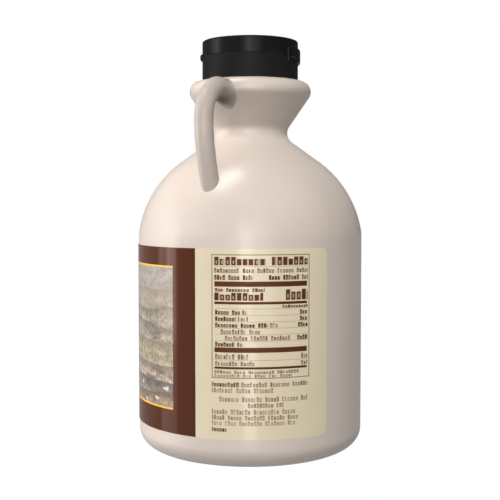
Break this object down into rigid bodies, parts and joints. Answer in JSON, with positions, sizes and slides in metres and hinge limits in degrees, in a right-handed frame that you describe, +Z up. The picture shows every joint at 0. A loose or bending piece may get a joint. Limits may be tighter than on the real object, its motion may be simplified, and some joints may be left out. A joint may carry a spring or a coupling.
{
  "type": "syrup jug with handle",
  "caption": "Round syrup jug with a domed shoulder, a pinched waist, a flared collar, a loop handle, a wrap label and a flip-top cap.",
  "frame": {"origin": "the middle of the underside, on the jug's axis", "axes": "+Z up along the jug's axis, -Y towards the front of the label, +X towards the loop handle"},
  "size_m": [0.1032, 0.1026, 0.1852],
  "materials": {
    "jug": "satin beige moulded plastic",
    "label": "printed film label with brown and cream fields and gold lines",
    "cap": "black moulded plastic"
  },
  "bodies": {
    "root": {"jug": "jug", "label": "label", "cap_base": "cap", "cap_lid": "cap"}
  },
  "joints": []
}
